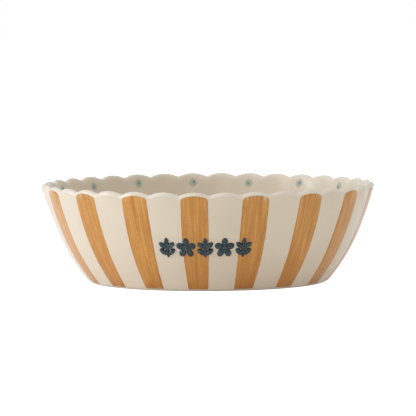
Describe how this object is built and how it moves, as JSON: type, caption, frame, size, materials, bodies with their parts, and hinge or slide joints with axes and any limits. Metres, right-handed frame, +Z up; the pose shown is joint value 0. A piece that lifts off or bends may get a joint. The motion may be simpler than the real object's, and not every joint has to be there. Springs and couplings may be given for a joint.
{
  "type": "chip and dip serving bowl",
  "caption": "Round glazed stoneware serving bowl with a scalloped rim, brushed ochre stripes outside, teal spots inside the rim and raised teal sprigs on the front.",
  "frame": {"origin": "on the table, under the centre of the foot ring", "axes": "+Z up the bowl's axis, -Y towards the front with the sprigs, +X to the right of someone facing it"},
  "size_m": [0.2502, 0.2498, 0.075],
  "materials": {
    "cream_glaze": "cream glaze, semi-gloss, faint speckle",
    "ochre_slip": "brushed ochre slip under the glaze",
    "teal_spot": "grey-teal spot with a dark middle",
    "teal_sprig": "dark teal glaze over raised clay"
  },
  "bodies": {
    "root": {"bowl_body": "cream_glaze", "slip_stripe_01": "ochre_slip", "slip_stripe_02": "ochre_slip", "slip_stripe_03": "ochre_slip", "slip_stripe_04": "ochre_slip", "slip_stripe_05": "ochre_slip", "slip_stripe_06": "ochre_slip", "slip_stripe_07": "ochre_slip", "slip_stripe_08": "ochre_slip", "slip_stripe_09": "ochre_slip", "slip_stripe_10": "ochre_slip", "slip_stripe_11": "ochre_slip", "slip_stripe_12": "ochre_slip", "slip_stripe_13": "ochre_slip", "slip_stripe_14": "ochre_slip", "slip_stripe_15": "ochre_slip", "slip_stripe_16": "ochre_slip", "slip_stripe_17": "ochre_slip", "rim_spot_01": "teal_spot", "rim_spot_02": "teal_spot", "rim_spot_03": "teal_spot", "rim_spot_04": "teal_spot", "rim_spot_05": "teal_spot", "rim_spot_06": "teal_spot", "rim_spot_07": "teal_spot", "rim_spot_08": "teal_spot", "rim_spot_09": "teal_spot", "rim_spot_10": "teal_spot", "rim_spot_11": "teal_spot", "rim_spot_12": "teal_spot", "rim_spot_13": "teal_spot", "rim_spot_14": "teal_spot", "rim_spot_15": "teal_spot", "rim_spot_16": "teal_spot", "rim_spot_17": "teal_spot", "sprig_1_leaf": "teal_sprig", "sprig_2_blossom": "teal_sprig", "sprig_3_leaf": "teal_sprig", "sprig_4_blossom": "teal_sprig", "sprig_5_leaf": "teal_sprig"}
  },
  "joints": []
}
